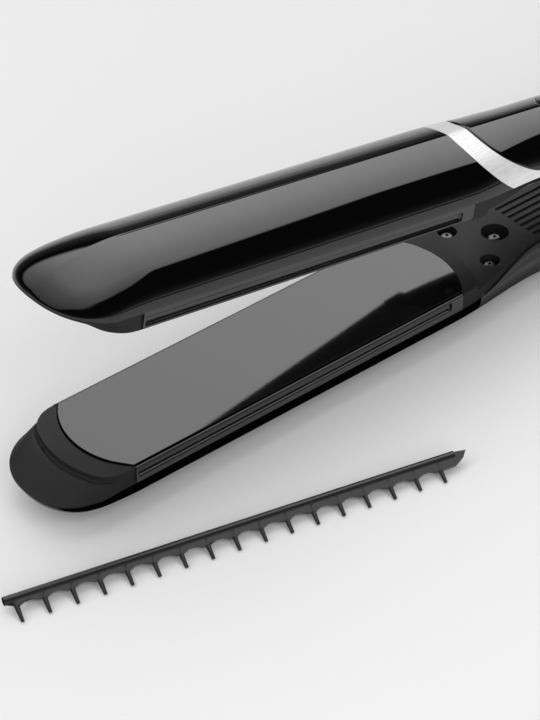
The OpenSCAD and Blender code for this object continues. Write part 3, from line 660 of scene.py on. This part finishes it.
class STRAIGHTENER_OT_nose_caps(bpy.types.Operator):
    """Build the domed nose caps and the raised lips around the plates"""

    bl_idname = "straightener.nose_caps"
    bl_label = "Nose caps"

    def execute(self, context):
        for arm in ("lower", "upper"):
            up = arm == "upper"
            bm = skin(*CAP_GRID, cap_point, up)
            face_inwards(bm, up)
            add_piece(f"{arm}_cap_face", bm, "cap", f"{arm}_arm",
                      [f"{arm}_nose_cap"], CAP_WALL)
            bm = skin(*LIP_GRID, lip_point, up)
            face_inwards(bm, up)
            add_piece(f"{arm}_nose_lip", bm, "cap", f"{arm}_arm", (), LIP_WALL,
                      LIP_EDGE)
        return {"FINISHED"}


class STRAIGHTENER_OT_frames(bpy.types.Operator):
    """Build the plate frames with the ridges above and below the comb's slot"""

    bl_idname = "straightener.frames"
    bl_label = "Plate frames"

    def execute(self, context):
        round_end = [SLOT_END_R * (1 - math.cos(math.radians(15 * i))) for i in range(7)]
        stations = [-STRAIGHT, SLOT_X0 - SLOT_STEP]
        stations += [SLOT_X0 + part for part in round_end]
        stations += [lerp(SLOT_X0 + SLOT_END_R, SLOT_X1 - SLOT_END_R, i / 8) for i in range(1, 8)]
        stations += [SLOT_X1 - part for part in reversed(round_end)]
        stations += [SLOT_X1 + SLOT_STEP, STRAIGHT]

        def depth(x):
            from_end = min(x - SLOT_X0, SLOT_X1 - x) / SLOT_END_R
            return 0.0 if from_end <= 0 else math.sqrt(1 - (1 - min(1.0, from_end)) ** 2)

        for arm in ("lower", "upper"):
            up = arm == "upper"
            loops = []
            for x in stations:
                half = frame_section(depth(x))
                loops.append([(x, y, d) for y, d in half]
                             + [(x, -y, d) for y, d in reversed(half)])
            count = len(loops[0])

            def point(u, w):
                row = loops[round(u * (len(stations) - 1))]
                return row[round((w + 1) / 2 * count) % count]

            bm = skin(len(stations) - 1, count, point, up)
            bmesh.ops.holes_fill(bm, edges=[e for e in bm.edges if e.is_boundary], sides=0)
            bmesh.ops.recalc_face_normals(bm, faces=bm.faces)
            add_piece(f"{arm}_frame_rails", bm, "satin", f"{arm}_arm",
                      [f"{arm}_plate_frame"], angle=30)
        return {"FINISHED"}


class STRAIGHTENER_OT_band(bpy.types.Operator):
    """Build the silver band"""

    bl_idname = "straightener.band"
    bl_label = "Silver band"

    def execute(self, context):
        s = shape()

        def band(u, w):
            return shell_point(lerp(band_front(w) + PART_GAP, band_rear(w) - PART_GAP, u), w)

        bm = skin(BAND_RINGS, s.section, band, True, CROWN_DENSE)
        face_outwards(bm, True)
        add_piece("silver_band", bm, "trim", "upper_arm", ["trim_band"],
                  s.wall, s.edge)
        return {"FINISHED"}


class STRAIGHTENER_OT_handle_shells(bpy.types.Operator):
    """Build the shells of both handles"""

    bl_idname = "straightener.handle_shells"
    bl_label = "Handle shells"

    def execute(self, context):
        s = shape()

        def lower(u, w):
            x, y, d = handle_point(lerp(SPLIT_X + HANDLE_GAP, HANDLE_END, u), w)
            return x, y, min(d, ARM_T)

        bm = skin(s.stations, s.section, lower, False)
        face_outwards(bm, False)
        add_piece("lower_handle_skin", bm, "grip", "lower_arm",
                  ["lower_handle_shell"], HANDLE_WALL, s.edge)

        def upper(u, w):
            d = arch(GRIP_H, SEAM_D, CROWN_D - SEAM_D, w)[1]
            end = min(HOOD_END, HINGE_X - math.sqrt(max(0.0, DISC_R ** 2 - d * d)))
            x, y, d = shell_point(lerp(band_rear(w) + PART_GAP, end - TAIL_GAP, u), w)
            return x, y * (1 + SKIN_RISE / GRIP_H), d + SKIN_RISE

        bm = skin(s.stations, s.section, upper, True, CROWN_DENSE)
        face_outwards(bm, True)
        obj = add_piece("upper_handle_gloss", bm, "gloss", "upper_arm", (),
                        GLOSS_WALL)
        for opening in (BEZEL_OPENING, LOCK_OPENING):
            cut_slot(obj, *opening)
        return {"FINISHED"}


# ---- stage ------------------------------------------------------------------------------

# Headings of the softbox, in degrees from +X and above the floor
SOFTBOX_SIDE = -8
SOFTBOX_WING, SOFTBOX_WING_END = ((-8, 40.5), (-35, 44)), ((-33, 40), (-54, 57))
SOFTBOX_HEART = (33, 47)
SOFTBOX_SOFT = 0.012  # softness of its edges
# It closes overhead and ends at its foot between two heights, as sines of the elevation
SOFTBOX_TOP, SOFTBOX_FOOT = (0.82, 0.93), (0.38, 0.46)
# Its level, by the cosine of the angle from its heart
SOFTBOX_FADE = ((0.0, 0.5), (0.5, 0.92), (0.72, 1.24), (0.81, 1.7), (0.87, 2.2), (0.93, 2.45),
                (0.962, 2.7), (0.985, 2.95), (1.0, 3.05))
WALL_GLOW = ((-0.04, 0.11, 0.55), (0.05, 0.38, 0.1))  # each level fades between two heights

FLOOR_SIZE = 24
# The fill lamps, as place and part of the light
FILLS = {
    "top_fill": ((0.3, 0.9, 2.6), 0.3),
    "front_fill": ((-0.6, -2.4, 1.5), 0.85),
    "side_fill": ((-2.4, 0.3, 1.6), 0.45),
}
FILL_SIZE = 3.2
# Black cards on the floor that only reflections see, as centre, size and turn. They are painted
# shade in the reflections: the shade card paints the floor's shadow beside the lower arm into the
# gloss of its near side, and the large card paints a dark floor into the shells' reflections
CARDS = {
    "dark_reflection_card": ((0.83, -0.66, 0.0005), (0.9, 1.6), -30),
    "shade_card": ((0.045, -0.0175, 0.0004), (0.31, 0.015), 0),
}
# As solved from the edges in the photo
CAMERA_PLACE = (-0.3795, -0.4545, 0.4806)
CAMERA_AZIMUTH, CAMERA_ELEVATION = -40.0, 38.37


def heading(azimuth, elevation):
    """Unit vector towards a compass angle from +X and a height above the floor, in degrees."""
    a, e = math.radians(azimuth), math.radians(elevation)
    return Vector((math.cos(e) * math.cos(a), math.cos(e) * math.sin(a), math.sin(e)))


def great_circle(a, b):
    """Pole of the great circle through two headings, on the side that is lit."""
    return -heading(*a).cross(heading(*b)).normalized()


def softbox_world(stage):
    """A dark studio with one large softbox beyond the handles, which fades over the object."""
    world = bpy.data.worlds.new("Studio")
    world.use_nodes = True
    nodes, links = world.node_tree.nodes, world.node_tree.links
    ray = nodes.new("ShaderNodeTexCoord").outputs["Generated"]

    def along(axis):
        dot = nodes.new("ShaderNodeVectorMath")
        dot.operation = "DOT_PRODUCT"
        dot.inputs[1].default_value = axis
        links.new(ray, dot.inputs[0])
        return dot.outputs["Value"]

    def step(value, low, high):
        ramp = nodes.new("ShaderNodeMapRange")
        ramp.interpolation_type = "SMOOTHSTEP"
        ramp.inputs["From Min"].default_value = low
        ramp.inputs["From Max"].default_value = high
        links.new(value, ramp.inputs["Value"])
        return ramp.outputs["Result"]

    def both(kind, a, b):
        math_node = nodes.new("ShaderNodeMath")
        math_node.operation = kind
        for index, value in enumerate((a, b)):
            if isinstance(value, float):
                math_node.inputs[index].default_value = value
            else:
                links.new(value, math_node.inputs[index])
        return math_node.outputs[0]

    up = Vector((0, 0, 1))
    soft = SOFTBOX_SOFT
    near = step(along(up.cross(heading(SOFTBOX_SIDE, 0))), -soft, soft)
    wing = step(along(great_circle(*SOFTBOX_WING)), -soft, soft)
    wing_end = step(along(great_circle(*SOFTBOX_WING_END)), -3 * soft, 3 * soft)
    shape_mask = both("MAXIMUM", near, both("MULTIPLY", wing, wing_end))
    shape_mask = both("MAXIMUM", shape_mask, step(along(up), *SOFTBOX_TOP))
    shape_mask = both("MULTIPLY", shape_mask, step(along(up), *SOFTBOX_FOOT))

    fade = nodes.new("ShaderNodeValToRGB")
    fade_in = nodes.new("ShaderNodeMapRange")
    links.new(along(heading(*SOFTBOX_HEART)), fade_in.inputs["Value"])
    links.new(fade_in.outputs["Result"], fade.inputs["Fac"])
    ramp = fade.color_ramp
    top = SOFTBOX_FADE[-1][1]
    ramp.elements[0].position, ramp.elements[1].position = 0.0, 1.0
    for place, _ in SOFTBOX_FADE[1:-1]:
        ramp.elements.new(place)
    for stop, (_, amount) in zip(ramp.elements, SOFTBOX_FADE):
        stop.color = grey(amount / top)
    level = both("MULTIPLY", both("MULTIPLY", fade.outputs["Color"], shape_mask), top)
    level = both("ADD", level, stage.dark)
    # the walls of the studio glow a little near the ground
    for low, high, glow in WALL_GLOW:
        dim = both("SUBTRACT", 1.0, step(along(up), low, high))
        level = both("ADD", level, both("MULTIPLY", dim, glow))
    # the softbox lights the floor less than it shows in the gloss, the fills do the rest
    path = nodes.new("ShaderNodeLightPath")
    share = nodes.new("ShaderNodeMapRange")
    share.inputs["To Min"].default_value = stage.softbox_share
    links.new(path.outputs["Is Glossy Ray"], share.inputs["Value"])
    level = both("MULTIPLY", level, share.outputs["Result"])
    links.new(level, nodes["Background"].inputs["Strength"])
    nodes["Background"].inputs["Color"].default_value = (1, 1, 1, 1)
    return world


class STRAIGHTENER_OT_stage(bpy.types.Operator):
    """Build the floor, the lights and the camera"""

    bl_idname = "straightener.stage"
    bl_label = "Stage"

    def panel(self, name, centre, size, turn, material, **visible):
        """A level rectangle, turned by a number of degrees."""
        bm = bmesh.new()
        bmesh.ops.create_grid(bm, x_segments=1, y_segments=1, size=0.5)
        bmesh.ops.scale(bm, verts=bm.verts, vec=(size[0], size[1], 1))
        place = Matrix.Translation(centre) @ Matrix.Rotation(math.radians(turn), 4, "Z")
        bmesh.ops.transform(bm, matrix=place, verts=bm.verts)
        mesh = bpy.data.meshes.new(name)
        bm.to_mesh(mesh)
        bm.free()
        obj = bpy.data.objects.new(name, mesh)
        bpy.context.collection.objects.link(obj)
        mesh.materials.append(material)
        for key, value in visible.items():
            setattr(obj, "visible_" + key, value)

    def execute(self, context):
        stage = context.scene.straightener_stage
        floor_mat = grained("Floor", stage.floor, (0.85, 0.9), 60, 0.0, 3, tone=0.0)
        self.panel("floor", (0, 0, 0), (FLOOR_SIZE, FLOOR_SIZE), 0, floor_mat)

        # painted shade: a black card that only glossy rays see, standing in for dark floor in the
        # reflections
        card = bpy.data.materials.new("PaintedShadeCard")
        card.use_nodes = True
        card.node_tree.nodes["Principled BSDF"].inputs["Base Color"].default_value = grey(0)
        card.node_tree.nodes["Principled BSDF"].inputs["Specular IOR Level"].default_value = 0
        for name, (centre, size, turn) in CARDS.items():
            self.panel(name, centre, size, turn, card, camera=False, diffuse=False, shadow=False)
        context.scene.world = softbox_world(stage)

        for name, (place, part) in FILLS.items():
            data = bpy.data.lights.new(name, "AREA")
            data.shape = "SQUARE"
            data.size = FILL_SIZE
            # the squared distance keeps the level the same from any place
            data.energy = stage.fill * part * math.pi ** 2 * Vector(place).length_squared
            lamp = bpy.data.objects.new(name, data)
            context.collection.objects.link(lamp)
            lamp.location = place
            lamp.rotation_mode = "QUATERNION"
            lamp.rotation_quaternion = Vector(place).to_track_quat("Z", "Y")
            lamp.visible_glossy = False
            lamp.visible_camera = False

        data = bpy.data.cameras.new("PhotoCamera")
        data.lens = stage.lens
        data.sensor_width = 36
        data.clip_start, data.clip_end = 0.02, 50
        camera = bpy.data.objects.new("PhotoCamera", data)
        context.collection.objects.link(camera)
        azimuth, elevation = math.radians(CAMERA_AZIMUTH), math.radians(CAMERA_ELEVATION)
        # towards the camera
        back = Vector((math.sin(azimuth) * math.cos(elevation),
                       -math.cos(azimuth) * math.cos(elevation), math.sin(elevation)))
        camera.location = CAMERA_PLACE
        camera.rotation_mode = "QUATERNION"
        camera.rotation_quaternion = (-back).to_track_quat("-Z", "Y")
        context.scene.camera = camera
        context.scene.view_settings.view_transform = "Standard"
        return {"FINISHED"}


BUILD_STEPS = (
    STRAIGHTENER_OT_finishes,
    STRAIGHTENER_OT_front_shells,
    STRAIGHTENER_OT_nose_caps,
    STRAIGHTENER_OT_frames,
    STRAIGHTENER_OT_band,
    STRAIGHTENER_OT_handle_shells,
    STRAIGHTENER_OT_stage,
)


class STRAIGHTENER_PT_panel(bpy.types.Panel):
    """Lists the settings and the build steps"""

    bl_label = "Hair Straightener"
    bl_idname = "STRAIGHTENER_PT_panel"
    bl_space_type = "VIEW_3D"
    bl_region_type = "UI"
    bl_category = "Straightener"

    def draw(self, context):
        scene = context.scene
        for group in (scene.straightener_shape, scene.straightener_finish,
                      scene.straightener_stage):
            box = self.layout.box()
            for key in group.__annotations__:
                box.prop(group, key)
        for step in BUILD_STEPS:
            self.layout.operator(step.bl_idname)


CLASSES = (StraightenerShape, StraightenerFinish, StraightenerStage, *BUILD_STEPS,
           STRAIGHTENER_PT_panel)


def register():
    for cls in CLASSES:
        bpy.utils.register_class(cls)
    bpy.types.Scene.straightener_shape = PointerProperty(type=StraightenerShape)
    bpy.types.Scene.straightener_finish = PointerProperty(type=StraightenerFinish)
    bpy.types.Scene.straightener_stage = PointerProperty(type=StraightenerStage)


def unregister():
    del bpy.types.Scene.straightener_stage
    del bpy.types.Scene.straightener_finish
    del bpy.types.Scene.straightener_shape
    for cls in reversed(CLASSES):
        bpy.utils.unregister_class(cls)


def main():
    register()
    for step in BUILD_STEPS:
        group, name = step.bl_idname.split(".")
        getattr(getattr(bpy.ops, group), name)()


if __name__ == "__main__":
    main()
